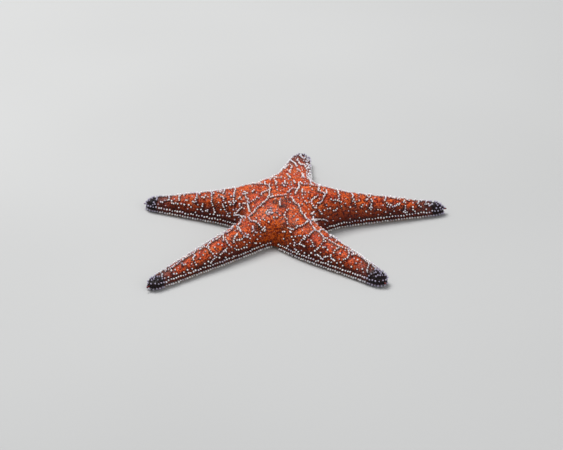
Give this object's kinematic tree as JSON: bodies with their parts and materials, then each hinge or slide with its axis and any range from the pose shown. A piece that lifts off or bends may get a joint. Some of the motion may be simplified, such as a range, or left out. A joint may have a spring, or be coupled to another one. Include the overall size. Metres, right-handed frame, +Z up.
{
  "type": "ochre sea star",
  "caption": "Life-size still model of an ochre sea star resting flat, arms spread, with rows of short pale spines on an orange skin and dark arm tips.",
  "frame": {"origin": "on the floor under the middle of the whole outline", "axes": "+Z up out of the upper side; +Y towards the arm called back; +X towards the arm called right_back"},
  "size_m": [0.2034, 0.2232, 0.0271],
  "materials": {
    "skin": "wet, semi-gloss",
    "tip_skin": "wet, semi-gloss",
    "spine": "satin",
    "soft_tissue": "wet, soft",
    "eyespot": "wet, glossy"
  },
  "bodies": {
    "root": {"disc": "skin", "arm_right_back": "skin", "arm_back": "skin", "arm_left_back": "skin", "arm_left_front": "skin", "arm_right_front": "skin", "arm_tip_right_back": "tip_skin", "arm_tip_back": "tip_skin", "arm_tip_left_back": "tip_skin", "arm_tip_left_front": "tip_skin", "arm_tip_right_front": "tip_skin", "eyespot_right_back": "eyespot", "eyespot_back": "eyespot", "eyespot_left_back": "eyespot", "eyespot_left_front": "eyespot", "eyespot_right_front": "eyespot", "madreporite": "spine", "mouth": "soft_tissue"}
  },
  "joints": []
}
